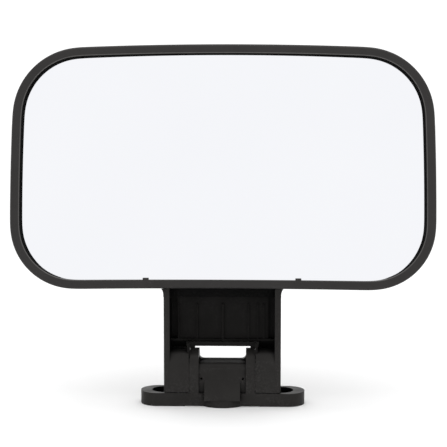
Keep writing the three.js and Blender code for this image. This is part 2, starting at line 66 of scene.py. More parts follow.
HEAD_WIDTH = 250 * MM
HEAD_HEIGHT = 144 * MM
TOP_RADIUS = 41 * MM
LOWER_RADIUS = 37.6 * MM
TOP_BOW = 1.6 * MM  # how far the middle of the top edge stands above its ends
LOWER_BOW = 0.7 * MM
SIDE_BOW = 0.4 * MM
SIDE_TAPER = 0.9 * MM
HEAD_LEAN = math.radians(7.5)
HEAD_CORNER = (0, -17 * MM, 71.2 * MM)  # the front lower edge of the head
HEAD_PLACE = Matrix.Translation(HEAD_CORNER) @ Matrix.Rotation(-HEAD_LEAN, 4, "X")
LOOP_POINTS = 320  # points round the head's outline

GLASS_RADIUS = 1800 * MM
GLASS_FRONT = -0.6 * MM
GLASS_THICKNESS = 2.5 * MM
GLASS_INSET = 4.7 * MM
POCKET_INSET = 4.4 * MM
POCKET_EASE = 0.3 * MM
FOAM_INSET = 10 * MM
FOAM_FRONT = 2.2 * MM
FOAM_THICKNESS = 1.5 * MM
BEZEL_DEPTH = 13 * MM
FACE_WIDTH = 5.6 * MM
FACE_NARROWING = 0.2 * MM  # how much narrower the rim's face is along the top and the bottom
OPENING_SIDE = 6.9 * MM  # how far in the glass begins at the sides, along the top and along the bottom
OPENING_TOP = 6.6 * MM
OPENING_LOW = 5.2 * MM
RIM_ROUND = 1.5 * MM
RIM_BACK = ((0.35, 0), (0.1, 0.12), (0, 0.4))  # the back edge: inset, and ahead of the back, in mm
RIM_SIDE = (9 * MM, 5 * MM)
FACE_FALL = ((0.5, 0), (0.8, 0.02), (0.9, 0.1), (0.96, 0.22))  # share of the face's width, depth in mm
LIP_DEPTH = 0.4 * MM
LIP_EDGE = ((-0.05, 0.25), (0, 0.12), (-0.05, 0.04))  # past the opening's edge, and ahead of the glass, in mm
LIP_SHADE_STOP = -0.97  # the lip's painted shade ends where the outline faces down more than this
TAB_X = 44.6 * MM
TAB_HALF_WIDTH = 1.7 * MM
TAB_FRONT = 0.02 * MM
TAB_BACK = 0.55 * MM
TAB_BELOW = 1.2 * MM  # how far the tabs reach below and above the rim's inner edge
TAB_ABOVE = 0.9 * MM

HOUSING_INSET = 0.4 * MM
HOUSING_WALL = 2.8 * MM
HOUSING_BACK = 33.84 * MM
HOUSING_ROUND = 17 * MM
SHELL_EASE = 0.35 * MM
GROOVE_INSET = 25.7 * MM  # a shallow groove round the back
GROOVE_WIDTH = 1.4 * MM
GROOVE_DEPTH = 0.5 * MM
GROOVE_SLOPE = 0.3 * MM
LAND_W = 36 * MM  # half the width of the block that the arm is screwed to
LAND_FRONT = 14 * MM
LAND_BACK = 27.6 * MM
LAND_LOW = 0.6 * MM
LAND_HIGH = 8.5 * MM
SCREW_ROWS = ((36, (-92, 92)), (20, (0,)), (107, (-92, 92)), (123, (0,)))  # height, and places across, in mm
REAR_SCREWS = [(x * MM, z * MM) for z, xs in SCREW_ROWS for x in xs]
SCREW_SEAT = 26 * MM
POST_RADIUS = 4.8 * MM
POST_FRONT = 20.3 * MM
WELL_RADIUS = 3.4 * MM
PILOT_RADIUS = 2.2 * MM
PILOT_FRONT = 24 * MM
SCREW_TURN = 0.7  # how much further each screw is turned than the last, in radians

# ---------- materials ----------

# the near-black colour that the painted shade reaches deep in recesses
SHADE = (0.001, 0.001, 0.001)
SHADE_REACH = 40 * MM  # how far apart the walls of a recess may stand and still darken it with painted shade
PLASTIC_SHEEN = (1, 0.96, 0.93, 1)


def node(tree, kind, **settings):
    made = tree.nodes.new(kind)
    for key, value in settings.items():
        setattr(made, key, value)
    return made


def shader(name):
    material = bpy.data.materials.new(name)
    material.use_nodes = True
    tree = material.node_tree
    return material, tree, tree.nodes["Principled BSDF"]


def noise(tree, scale, detail):
    coords = node(tree, "ShaderNodeTexCoord")
    texture = node(tree, "ShaderNodeTexNoise")
    texture.inputs["Scale"].default_value = scale
    texture.inputs["Detail"].default_value = detail
    tree.links.new(coords.outputs["Object"], texture.inputs["Vector"])
    return texture.outputs["Fac"]


def spread(tree, value, low, high, start=0.3, end=0.7):
    """Maps a noise value onto the range from low to high."""
    made = node(tree, "ShaderNodeMapRange")
    made.inputs["From Min"].default_value = start
    made.inputs["From Max"].default_value = end
    made.inputs["To Min"].default_value = low
    made.inputs["To Max"].default_value = high
    tree.links.new(value, made.inputs["Value"])
    return made.outputs["Result"]


def mix(tree, factor, first, second):
    """Two colours, each a tuple or a socket, mixed by a factor."""
    made = node(tree, "ShaderNodeMix", data_type="RGBA")
    factor_in, first_in, second_in = made.inputs[0], made.inputs[6], made.inputs[7]
    for socket, colour in ((first_in, first), (second_in, second)):
        if isinstance(colour, tuple):
            socket.default_value = (*colour, 1)
        else:
            tree.links.new(colour, socket)
    tree.links.new(factor, factor_in)
    return made.outputs[2]


def bump(tree, bsdf, height, strength, distance, normal=None):
    made = node(tree, "ShaderNodeBump")
    made.inputs["Strength"].default_value = strength
    made.inputs["Distance"].default_value = distance
    tree.links.new(height, made.inputs["Height"])
    if normal:
        tree.links.new(normal, made.inputs["Normal"])
    tree.links.new(made.outputs["Normal"], bsdf.inputs["Normal"])
    return made.outputs["Normal"]


def edges(tree, start, end):
    """1 on sharp outer edges, where handling polishes the grain away, and 0 elsewhere."""
    geometry = node(tree, "ShaderNodeNewGeometry")
    return spread(tree, geometry.outputs["Pointiness"], 0, 1, start, end)


def painted_shade_factor(tree):
    """1 on open surfaces, falling to 0 in the depth of recesses, which light barely reaches: the factor by
    which shade is painted into the colour.
    """
    shelter = node(tree, "ShaderNodeAmbientOcclusion", samples=12, only_local=True)
    shelter.inputs["Distance"].default_value = SHADE_REACH
    return spread(tree, shelter.outputs["AO"], 0, 1, 0.5, 0.95)


def moulded_plastic(name, dark, light, worn, roughness, grain, gloss):
    """Cloudy black plastic with a fine grain, with painted shade darkening its recesses, and rubbed lighter
    on its edges.
    """
    material, tree, bsdf = shader(name)
    bsdf.inputs["Specular IOR Level"].default_value = gloss
    bsdf.inputs["Specular Tint"].default_value = PLASTIC_SHEEN
    cloud = spread(tree, noise(tree, 60, 4), 0, 1)
    fleck = spread(tree, noise(tree, 900, 2), 0, 1, 0.45, 0.8)
    # painted shade: the colour fades towards SHADE in the depth of recesses
    body = mix(tree, painted_shade_factor(tree), SHADE, mix(tree, cloud, dark, light))
    wear = edges(tree, 0.53, 0.62)
    rubbed = node(tree, "ShaderNodeMath", operation="MULTIPLY")
    tree.links.new(wear, rubbed.inputs[0])
    tree.links.new(fleck, rubbed.inputs[1])
    tree.links.new(mix(tree, rubbed.outputs[0], body, worn), bsdf.inputs["Base Color"])
    patches = spread(tree, noise(tree, 140, 5), roughness - 0.06, roughness + 0.07)
    tree.links.new(patches, bsdf.inputs["Roughness"])
    coarse = bump(tree, bsdf, noise(tree, 420, 3), 0.05, 0.2 * MM)
    bump(tree, bsdf, noise(tree, 2600, 2), grain, 0.05 * MM, coarse)
    return material


def mirror_silver():
    """Silvered glass: a faint cool tint and barely any blur."""
    material, tree, bsdf = shader("mirror_silver")
    tint = mix(tree, spread(tree, noise(tree, 9, 2), 0, 1), (0.79, 0.797, 0.825), (0.8, 0.807, 0.833))
    tree.links.new(tint, bsdf.inputs["Base Color"])
    bsdf.inputs["Metallic"].default_value = 1
    tree.links.new(spread(tree, noise(tree, 35, 6), 0.01, 0.035), bsdf.inputs["Roughness"])
    return material


def steel(name, dark, light, metallic, roughness):
    """Blotchy plated or painted steel."""
    material, tree, bsdf = shader(name)
    blotch = spread(tree, noise(tree, 350, 5), 0, 1)
    tree.links.new(mix(tree, blotch, dark, light), bsdf.inputs["Base Color"])
    bsdf.inputs["Metallic"].default_value = metallic
    patches = spread(tree, noise(tree, 700, 4), roughness - 0.09, roughness + 0.09)
    tree.links.new(patches, bsdf.inputs["Roughness"])
    bump(tree, bsdf, noise(tree, 1500, 3), 0.1, 0.04 * MM)
    return material


def soft(name, dark, light, scale, strength):
    """Matt foam, rubber or acetal, its texture at a given scale."""
    material, tree, bsdf = shader(name)
    tint = mix(tree, spread(tree, noise(tree, scale, 4), 0, 1), dark, light)
    tree.links.new(tint, bsdf.inputs["Base Color"])
    tree.links.new(spread(tree, noise(tree, scale / 3, 3), 0.75, 0.95), bsdf.inputs["Roughness"])
    bump(tree, bsdf, noise(tree, scale, 2), strength, 0.2 * MM)
    return material


def pale_floor():
    material, tree, bsdf = shader("pale_floor")
    tint = mix(tree, spread(tree, noise(tree, 3, 3), 0, 1), (0.9, 0.9, 0.9), (0.92, 0.92, 0.92))
    tree.links.new(tint, bsdf.inputs["Base Color"])
    bsdf.inputs["Roughness"].default_value = 0.9
    return material


MATERIALS = {
    "black_plastic": moulded_plastic("black_plastic", (0.0138, 0.0132, 0.0127), (0.0188, 0.018, 0.0173),
                                     (0.034, 0.033, 0.032), roughness=0.4, grain=0.08, gloss=0.1),
    "rim_plastic": moulded_plastic("rim_plastic", (0.0085, 0.0082, 0.0084), (0.0125, 0.0119, 0.0122),
                                   (0.03, 0.029, 0.029), roughness=0.42, grain=0.07, gloss=0.33),
    # a lighter copy of the rim's plastic: a painted highlight on the rim's inner edge and on the arm's ledge
    "highlight_band": moulded_plastic("painted_highlight_edge", (0.018, 0.0175, 0.0175), (0.024, 0.0233, 0.0235),
                                (0.04, 0.039, 0.039), roughness=0.34, grain=0.05, gloss=0.8),
    # a near-black sheet of painted shade for the rim's lip and for the top of the arm's bay
    "lip": moulded_plastic("lip_painted_shade", (0.002, 0.002, 0.002), (0.004, 0.004, 0.004), (0.008, 0.008, 0.008),
                           roughness=0.6, grain=0.1, gloss=0.03),
    # near-black painted shade for the arm's bay, the bridge's front and the fins
    "recess": moulded_plastic("recess_painted_shade", (0.0012, 0.0011, 0.0011), (0.003, 0.0028, 0.0027),
                              (0.006, 0.0058, 0.0056), roughness=0.5, grain=0.08, gloss=0.11),
    "mirror": mirror_silver(),
    "rubber": soft("rubber", (0.008, 0.008, 0.008), (0.014, 0.014, 0.014), scale=900, strength=0.1),
    "foam": soft("foam", (0.03, 0.03, 0.032), (0.06, 0.06, 0.062), scale=1400, strength=0.5),
    "zinc_steel": steel("zinc_steel", (0.42, 0.43, 0.45), (0.6, 0.6, 0.6), metallic=1, roughness=0.35),
    "black_steel": steel("black_steel", (0.012, 0.012, 0.013), (0.02, 0.02, 0.021),
                         metallic=0.5, roughness=0.4),
    "acetal": soft("acetal", (0.014, 0.014, 0.014), (0.02, 0.02, 0.02), scale=400, strength=0.05),
}

SLOTS = {row["node"]: row["material_slot"] for row in frame["record"]["subparts"]}

# ---------- mesh tools ----------

MERGE_DISTANCE = 0.004 * MM
FLAT_ANGLE = math.radians(0.6)


def as_object(name, work):
    """A bmesh turned into a named object."""
    bmesh.ops.recalc_face_normals(work, faces=work.faces)
    mesh = bpy.data.meshes.new(name)
    work.to_mesh(mesh)
    work.free()
    made = bpy.data.objects.new(name, mesh)
    bpy.context.scene.collection.objects.link(made)
    return made


def prism(points, axis, low, high):
    """A closed outline pushed along an axis. Its points are (y, z) for X, (x, z) for Y and (x, y) for Z."""
    place = {
        "x": lambda a, b, t: (t, a, b),
        "y": lambda a, b, t: (a, t, b),
        "z": lambda a, b, t: (a, b, t),
    }[axis]
    work = bmesh.new()
    rings = [[work.verts.new(place(a, b, t)) for a, b in points] for t in (low, high)]
    count = len(points)
    for i in range(count):
        j = (i + 1) % count
        work.faces.new((rings[0][i], rings[0][j], rings[1][j], rings[1][i]))
    work.faces.new(rings[0])
    work.faces.new(rings[1])
    return as_object("work", work)


def span(side, inner, outer):
    """The limits along X of what reaches from inner to outer on one side of the middle."""
    return sorted((side * inner, side * outer))


def block(x0, x1, y0, y1, z0, z1):
    return prism([(x0, z0), (x1, z0), (x1, z1), (x0, z1)], "y", y0, y1)


def arc(centre, radius, start, end, steps):
    """Points on an arc, its angles in degrees."""
    angles = [math.radians(start + (end - start) * i / steps) for i in range(steps + 1)]
    return [(centre[0] + radius * math.cos(a), centre[1] + radius * math.sin(a)) for a in angles]


def disc(axis, radius, low, high, centre, steps=64):
    return prism(arc(centre, radius, 0, 360, steps)[:-1], axis, low, high)


def lathe(name, profile, axis, centre, steps=64):
    """A profile of (radius, position along the axis), its ends on the axis, turned about it."""
    work = bmesh.new()
    place = {
        "x": lambda u, v, t: (t, centre[0] + u, centre[1] + v),
        "y": lambda u, v, t: (centre[0] + u, t, centre[1] + v),
        "z": lambda u, v, t: (centre[0] + u, centre[1] + v, t),
    }[axis]
    rings = []
    for radius, t in profile:
        if radius == 0:
            rings.append([work.verts.new(place(0, 0, t))])
            continue
        turn = [2 * math.pi * i / steps for i in range(steps)]
        rings.append([work.verts.new(place(radius * math.cos(a), radius * math.sin(a), t)) for a in turn])
    for low, high in zip(rings, rings[1:]):
        for i in range(steps):
            j = (i + 1) % steps
            corners = [low[i % len(low)], low[j % len(low)], high[j % len(high)], high[i % len(high)]]
            work.faces.new(list(dict.fromkeys(corners)))
    return as_object(name, work)


def settle(made):
    """Applies an object's modifiers to its mesh."""
    graph = bpy.context.evaluated_depsgraph_get()
    mesh = bpy.data.meshes.new_from_object(made.evaluated_get(graph))
    old = made.data
    made.modifiers.clear()
    made.data = mesh
    bpy.data.meshes.remove(old)
    return made


def combine(made, operation, tools):
    for tool in tools:
        step = made.modifiers.new("step", "BOOLEAN")
        step.operation = operation
        step.solver = "EXACT"
        step.object = tool
        settle(made)
        bpy.data.objects.remove(tool)
    return made


def cut(made, *tools):
    return combine(made, "DIFFERENCE", tools)


def join(made, *tools):
    return combine(made, "UNION", tools)


def soften(made, width, segments=3, angle=30):
    """Merges coplanar faces, then rounds every edge sharper than an angle."""
    work = bmesh.new()
    work.from_mesh(made.data)
    bmesh.ops.remove_doubles(work, verts=work.verts, dist=MERGE_DISTANCE)
    bmesh.ops.dissolve_limit(work, angle_limit=FLAT_ANGLE, verts=work.verts, edges=work.edges)
    work.to_mesh(made.data)
    work.free()
    bevel = made.modifiers.new("rounded_edges", "BEVEL")
    bevel.width = width
    bevel.segments = segments
    bevel.limit_method = "ANGLE"
    bevel.angle_limit = math.radians(angle)
    bevel.miter_outer = "MITER_ARC"
    bevel.use_clamp_overlap = True
    return settle(made)


def smooth(made, angle=32):
    """Smooth shading that breaks at edges sharper than an angle."""
    made.data.polygons.foreach_set("use_smooth", [True] * len(made.data.polygons))
    made.data.set_sharp_from_angle(angle=math.radians(angle))
    weighted = made.modifiers.new("even_shading", "WEIGHTED_NORMAL")
    weighted.keep_sharp = True
    return made


def paint_region(made, slot, low, high):
    """Gives the faces whose middle lies in a box another material; the arm's bay takes its painted shade and
    painted highlight this way.
    """
    if not made.data.materials:
        made.data.materials.append(MATERIALS["black_plastic"])
    made.data.materials.append(MATERIALS[slot])
    index = len(made.data.materials) - 1
    for face in made.data.polygons:
        if all(a <= c <= b for a, c, b in zip(low, face.center, high)):
            face.material_index = index


def finish_piece(made, name, body, slot, replaced):
    """Names a piece, gives it its material and lets it stand for its CAD node."""
    made.name = name
    made.data.name = name
    if not made.data.materials:
        made.data.materials.append(MATERIALS[slot])
    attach(made, body)
    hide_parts(replaced)
    return made


# ---------- head outline ----------


def bow(start, control, end, steps):
    """Points on a shallow quadratic curve."""
    points = []
    for i in range(steps):
        t = i / steps
        a, b, c = (1 - t) ** 2, 2 * t * (1 - t), t * t
        x, z = (a * p + b * q + c * r for p, q, r in zip(start, control, end))
        points.append((x, z))
    return points


def rough_outline():
    lower_x = HEAD_WIDTH / 2 - SIDE_BOW / 2 - LOWER_RADIUS
    top_x = HEAD_WIDTH / 2 - SIDE_BOW / 2 - SIDE_TAPER - TOP_RADIUS
    top_z = HEAD_HEIGHT - TOP_BOW - TOP_RADIUS
    side_x = HEAD_WIDTH / 2 - SIDE_TAPER / 2 + SIDE_BOW
    middle_z = (LOWER_RADIUS + top_z) / 2
    lower_end = lower_x + LOWER_RADIUS
    top_end = top_x + TOP_RADIUS
    points = bow((-lower_x, 0), (0, 2 * LOWER_BOW), (lower_x, 0), 80)
    points += arc((lower_x, LOWER_RADIUS), LOWER_RADIUS, -90, 0, 60)[:-1]
    points += bow((lower_end, LOWER_RADIUS), (side_x, middle_z), (top_end, top_z), 40)
    points += arc((top_x, top_z), TOP_RADIUS, 0, 90, 60)[:-1]
    top = top_z + TOP_RADIUS
    points += bow((top_x, top), (0, top + 2 * TOP_BOW), (-top_x, top), 80)
    points += arc((-top_x, top_z), TOP_RADIUS, 90, 180, 60)[:-1]
    points += bow((-top_end, top_z), (-side_x, middle_z), (-lower_end, LOWER_RADIUS), 40)
    points += arc((-lower_x, LOWER_RADIUS), LOWER_RADIUS, 180, 270, 60)[:-1]
    return points


def even(points, count):
    """The same closed outline with evenly spaced points."""
    closed = [Vector(p) for p in points + points[:1]]
    lengths = [(b - a).length for a, b in zip(closed, closed[1:])]
    total = sum(lengths)
    result, index, passed = [], 0, 0.0
    for i in range(count):
        target = total * i / count
        while passed + lengths[index] < target:
            passed += lengths[index]
            index += 1
        share = (target - passed) / lengths[index]
        result.append(closed[index].lerp(closed[index + 1], share))
    return result


def eased(points, rounds):
    """Evens out the curvature where an arc meets a bow."""
    count = len(points)
    for _ in range(rounds):
        points = [(points[i - 1] + 2 * points[i] + points[(i + 1) % count]) / 4 for i in range(count)]
    return points


def outline_loop():
    """Points round the head with their outward normals."""
    points = eased(even(rough_outline(), LOOP_POINTS), 6)
    loop = []
    for i, point in enumerate(points):
        along = (points[(i + 1) % LOOP_POINTS] - points[i - 1]).normalized()
        loop.append((point, Vector((along.y, -along.x))))
    return loop


LOOP = outline_loop()


def sag(x, z):
    """How far the convex glass has fallen back at a point of the head."""
    return GLASS_RADIUS - math.sqrt(GLASS_RADIUS ** 2 - x ** 2 - (z - HEAD_HEIGHT / 2) ** 2)


def inset_point(item, inset):
    point, normal = item
    return point - normal * inset


def sweep(name, profile, closed=True):
    """Carries a profile of (inset, depth) round the head. Either may be a function of the loop's item."""
    work = bmesh.new()
    rings = []
    for inset, depth in profile:
        ring = []
        for item in LOOP:
            place = inset_point(item, inset(item) if callable(inset) else inset)
            y = depth(place) if callable(depth) else depth
            ring.append(work.verts.new((place.x, y, place.y)))
        rings.append(ring)
    pairs = list(zip(rings, rings[1:]))
    if closed:
        pairs.append((rings[-1], rings[0]))
    for low, high in pairs:
        for i in range(LOOP_POINTS):
            j = (i + 1) % LOOP_POINTS
            work.faces.new((low[i], low[j], high[j], high[i]))
    if not closed:
        work.faces.new(rings[0])
        work.faces.new(rings[-1])
    return as_object(name, work)


def to_head(made):
    made.data.transform(HEAD_PLACE)
    return made


# ---------- front bezel ----------


def face_inset(share):
    """The rim's face is a little narrower along the top and the bottom than at the sides."""
    def value(item):
        return share * (FACE_WIDTH - FACE_NARROWING * item[1].y ** 2)
    return value


def opening_inset(extra):
    """How far in the rim's lip reaches over the glass: furthest at the sides, least along the bottom."""
    def value(item):
        up = item[1].y
        if up > 0:
            return OPENING_SIDE + (OPENING_TOP - OPENING_SIDE) * up ** 2 + extra
        return OPENING_SIDE + (OPENING_LOW - OPENING_SIDE) * up ** 4 + extra
    return value


def glass_depth(offset):
    return lambda place: GLASS_FRONT + sag(place.x, place.y) + offset


def lip_start(item):
    """Where the face's rounded inner edge ends: at its full width, or at the lip where that comes first."""
    return min(face_inset(1)(item), opening_inset(-0.1 * MM)(item))


def rim_section():
    """The rim's section from its back edge round to the pocket, with the bands that take its painted
    highlight along the face's inner edge and its painted shade on the lip.
    """
    profile = [(inset * MM, BEZEL_DEPTH - ahead * MM) for inset, ahead in RIM_BACK]
    profile += [(0, depth) for depth in RIM_SIDE]
    for i in range(7):
        turn = math.radians(15 * i)
        profile.append((RIM_ROUND * (1 - math.cos(turn)), RIM_ROUND * (1 - math.sin(turn)) + 0.05 * MM))
    profile += [(face_inset(share), depth * MM) for share, depth in FACE_FALL]
    edge_first = len(profile) - 2
    profile.append((lip_start, LIP_DEPTH))
    lip_first = len(profile) - 1
    profile += [(opening_inset(past * MM), glass_depth(-ahead * MM)) for past, ahead in LIP_EDGE]
    profile.append((POCKET_INSET, glass_depth(-LIP_EDGE[-1][1] * MM)))
    lip_last = len(profile) - 1
    profile += [(POCKET_INSET, BEZEL_DEPTH - POCKET_EASE), (POCKET_INSET - POCKET_EASE, BEZEL_DEPTH)]
    return profile, range(edge_first, lip_first), range(lip_first, lip_last)


def rim_tab(x):
    """A small tab on the rim's lower inner edge."""
    sill = OPENING_LOW + LOWER_BOW
    tab = block(x - TAB_HALF_WIDTH, x + TAB_HALF_WIDTH, TAB_FRONT, TAB_BACK,
                sill - TAB_BELOW, sill + TAB_ABOVE)
    return soften(tab, 0.2 * MM)


def make_bezel():
    profile, edge_bands, lip_bands = rim_section()
    bezel = sweep("front_bezel", profile)
    for i, face in enumerate(bezel.data.polygons):
        band, outward = i // LOOP_POINTS, LOOP[i % LOOP_POINTS][1]
        # a lighter band: painted highlight along the face's inner edge
        if band in edge_bands:
            face.material_index = 1
        # a near-black band: painted shade on the lip, except along the bottom
        elif band in lip_bands and outward.y > LIP_SHADE_STOP:
            face.material_index = 2
    for slot in ("rim_plastic", "highlight_band", "lip"):
        bezel.data.materials.append(MATERIALS[slot])
    join(bezel, rim_tab(-TAB_X), rim_tab(TAB_X))
    return finish_piece(smooth(to_head(bezel), 50), "rim_moulding", "head", "rim_plastic", "front_bezel")


# ---------- glass ----------


def domed_plate(name, inset, front, thickness, ease):
    """A curved plate: rings that shrink towards the middle, both faces on spheres, its edges eased."""
    work = bmesh.new()
    edge = [inset_point(item, inset) for item in LOOP]
    centre = Vector((0, HEAD_HEIGHT / 2))
    near_edge = 1 - ease / (HEAD_WIDTH / 2)
    rows = [(0.0, thickness)] + [(step / 12, thickness) for step in range(1, 12)]
    rows += [(near_edge, thickness), (1.0, thickness - ease), (1.0, ease), (near_edge, 0.0)]
    rows += [(step / 12, 0.0) for step in range(11, 0, -1)] + [(0.0, 0.0)]
    rings = []
    for share, depth in rows:
        places = [centre] if share == 0 else [centre.lerp(p, share) for p in edge]
        rings.append([work.verts.new((p.x, front + sag(p.x, p.y) + depth, p.y)) for p in places])
    for low, high in zip(rings, rings[1:]):
        for i in range(LOOP_POINTS):
            j = (i + 1) % LOOP_POINTS
            corners = [low[i % len(low)], low[j % len(low)], high[j % len(high)], high[i % len(high)]]
            work.faces.new(list(dict.fromkeys(corners)))
    return smooth(to_head(as_object(name, work)), 25)


def make_glass():
    glass = domed_plate("mirror_glass", GLASS_INSET, GLASS_FRONT, GLASS_THICKNESS, 0.35 * MM)
    finish_piece(glass, "convex_glass", "head", "mirror", "mirror_glass")


def make_foam():
    pad = domed_plate("foam_pad", FOAM_INSET, FOAM_FRONT, FOAM_THICKNESS, 0.5 * MM)
    finish_piece(pad, "foam_backing", "head", "foam", "foam_pad")


# ---------- rear housing ----------


def housing_profile(inset, round_radius, front, back, ease):
    """The shell's section from its eased front edge round to its back."""
    points = [(inset + ease, front), (inset, front + ease), (inset, front + 2 * ease)]
    for i in range(13):
        turn = math.radians(7.5 * i)
        points.append((inset + round_radius * (1 - math.cos(turn)),
                       back - round_radius * (1 - math.sin(turn))))
    return points


def screw_well(x, z):
    """The tool that bores a well for a rear screw's head, with the pilot hole for its shank."""
    rim, back = WELL_RADIUS + 0.5 * MM, HOUSING_BACK + PAST
    well = [(0, PILOT_FRONT), (PILOT_RADIUS, PILOT_FRONT), (PILOT_RADIUS, SCREW_SEAT)]
    well += [(WELL_RADIUS, SCREW_SEAT), (WELL_RADIUS, HOUSING_BACK - 0.5 * MM)]
    well += [(rim, HOUSING_BACK + 0.01 * MM), (rim, back), (0, back)]
    return lathe("well", well, "y", (x, z), 40)


def make_housing():
    front = BEZEL_DEPTH + GAP
    outer = housing_profile(HOUSING_INSET, HOUSING_ROUND, front, HOUSING_BACK, SHELL_EASE)
    floor = HOUSING_BACK - GROOVE_DEPTH
    groove_end = GROOVE_INSET + GROOVE_WIDTH
    outer += [(GROOVE_INSET, HOUSING_BACK), (GROOVE_INSET + GROOVE_SLOPE, floor),
              (groove_end - GROOVE_SLOPE, floor), (groove_end, HOUSING_BACK)]
    inner = housing_profile(HOUSING_INSET + HOUSING_WALL, HOUSING_ROUND - HOUSING_WALL, front - 2 * PAST,
                            HOUSING_BACK - HOUSING_WALL, 0.1 * MM)
    shell = cut(sweep("rear_housing", outer, False), sweep("inside", inner, False))
    land = block(-LAND_W, LAND_W, LAND_FRONT, LAND_BACK, LAND_LOW, LAND_HIGH)
    join(shell, soften(land, 0.8 * MM))
    for x, z in REAR_SCREWS:
        join(shell, disc("y", POST_RADIUS, POST_FRONT, HOUSING_BACK - HOUSING_WALL / 2, (x, z), 32))
        cut(shell, screw_well(x, z))
    return finish_piece(smooth(to_head(shell), 34), "back_shell", "head", "black_plastic", "rear_housing")


def cross_head(name, radius, height, shank, length):
    """A pan-head screw with a cross recess, its seat at 0 and its head towards +Y."""
    crown = ((0, 1), (0.5, 0.97), (0.8, 0.85), (0.95, 0.6), (1, 0.3), (1, 0))
    profile = [(radius * across, height * up) for across, up in crown]
    profile += [(shank, 0), (shank, 0.4 * MM - length), (0.5 * shank, -length), (0, -length)]
    screw = lathe(name, profile, "y", (0, 0), 48)
    wide, narrow = 0.58 * radius, 0.13 * radius
    floor = 0.35 * height
    for a, b in ((wide, narrow), (narrow, wide)):
        cut(screw, block(-a, a, floor, height + MM, -b, b))
    return screw


def rear_screw_node(x, z):
    """The CAD screw that sits where this one goes."""
    target = HEAD_PLACE @ Vector((x, SCREW_SEAT, z))
    names = [n for n in frame["nodes"] if n.startswith("rear_screw")]
    return min(names, key=lambda n: (sum(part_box(n), Vector()) / 2 - target).length)


def place_screw(pattern, place, kind, replaced, index):
    """A copy of a screw, each turned a little further than the last."""
    made = bpy.data.objects.new(kind, pattern.data.copy())
    bpy.context.scene.collection.objects.link(made)
    made.data.transform(HEAD_PLACE @ place @ Matrix.Rotation(SCREW_TURN * index, 4, "Y"))
    smooth(made, 40)
    return finish_piece(made, f"{kind}_fine_{index + 1}", "head", SLOTS[replaced], replaced)


def make_rear_screws():
    pattern = cross_head("pattern", radius=3 * MM, height=2.2 * MM, shank=1.5 * MM, length=11.5 * MM)
    for i, (x, z) in enumerate(REAR_SCREWS):
        place = Matrix.Translation((x, SCREW_SEAT + GAP, z))
        place_screw(pattern, place, "rear_screw", rear_screw_node(x, z), i)
    bpy.data.objects.remove(pattern)


def make_arm_screws():
    pattern = cross_head("pattern", radius=3 * MM, height=1.8 * MM, shank=1.7 * MM, length=8.6 * MM)
    upright = Matrix.Rotation(-math.pi / 2, 4, "X")
    for i, (name, x) in enumerate(arm_screws()):
        seat = Matrix.Translation((x, ARM_SCREW_Y, ARM_SEAT - GAP))
        place_screw(pattern, seat @ upright, "arm_screw", name, i)
    bpy.data.objects.remove(pattern)


# ---------- tilt arm ----------

ARM_W = 34.75 * MM  # half its width, and half its depth
ARM_D = 10.3 * MM
ARM_TOP = 77 * MM  # above the head's underside, where it is trimmed
ARM_TRIM = 0.25 * MM  # the trimmed top's height in the head
FLARE_LOW = 66.7 * MM
FLARE_OUT = 1.8 * MM
FLARE_RISE = 4 * MM
CORNER_ROUND = 2 * MM
CHEEK_IN = 19.9 * MM
CHEEK_R = 14.5 * MM
BAY_W = 31.1 * MM  # half the width of the bay, the recess in the arm's front
BAY_HIGH = 65 * MM
ROOF_FRONT = -4.5 * MM
ROOF_TOP = 76 * MM
PANEL_W = 27.3 * MM
PANEL_Y = 3.6 * MM
PANEL_LOW = 38.4 * MM
PANEL_HIGH = 63.6 * MM
SLOT_Y = 7.6 * MM
LEDGE = 1.2 * MM  # the thickness of the ledge below the panel
RIBS = [-26.4 * MM, -15.4 * MM, 0, 15.4 * MM, 20.9 * MM, 24.6 * MM]
RIB_OUT = 1.5 * MM
RIB_HALF_WIDTH = 0.4 * MM
MIDDLE_RIB_HALF_WIDTH = 0.6 * MM
RIB_STOP = 4 * MM  # how far the ribs end below the panel's top
BRIDGE_LOW = 34.6 * MM
BRIDGE_Y = -1 * MM
CORNER_X = 16.6 * MM
CORNER_LOW = 33.45 * MM
HOLLOW_X = 21.6 * MM
HOLLOW_LOW = 31 * MM
BROW_RADIUS = 9 * MM
BROW_START = 25.3 * MM
BACK_POCKET_W = 26 * MM
BACK_POCKET_LOW = 42 * MM
BACK_POCKET_HIGH = 62 * MM
BACK_POCKET_DEPTH = 0.6 * MM

LIP_PLAY = 0.07 * MM  # how close the cheeks' lips come to the lugs
LIP_FRONT = 0.1 * MM - ARM_D
LIP_BACK = -9.3 * MM
LIP_LOW = 9.5 * MM
STEP_FRONT = -9.5 * MM
STEP_TOP = 28.5 * MM
FIN_FRONT = -8 * MM
FIN_BACK = -6 * MM
FIN_LOW = 26 * MM

BOLT_BORE = 3.25 * MM
HEX_POCKET = 10.6 * MM  # across its flats
HEX_FLOOR = 28.2 * MM
NUT_POCKET_R = 6.5 * MM
NUT_FLOOR = 23.4 * MM
CAP_FLOOR = 33 * MM
CAP_FACE = ((0, 0.5), (0.15, 0.15), (0.5, 0), (1.2, 0.05), (1.5, 0.35), (1.9, 0.4))  # inset and depth, in mm
CAP_MIDDLE = 0.3 * MM

ARM_SCREW_Y = 18 * MM  # this and the two that follow are measured in the head
ARM_SEAT = -1.55 * MM
ARM_WELL_LOW = -4.75 * MM
ARM_WELL_R = 3.3 * MM
ARM_PILOT_R = 2 * MM


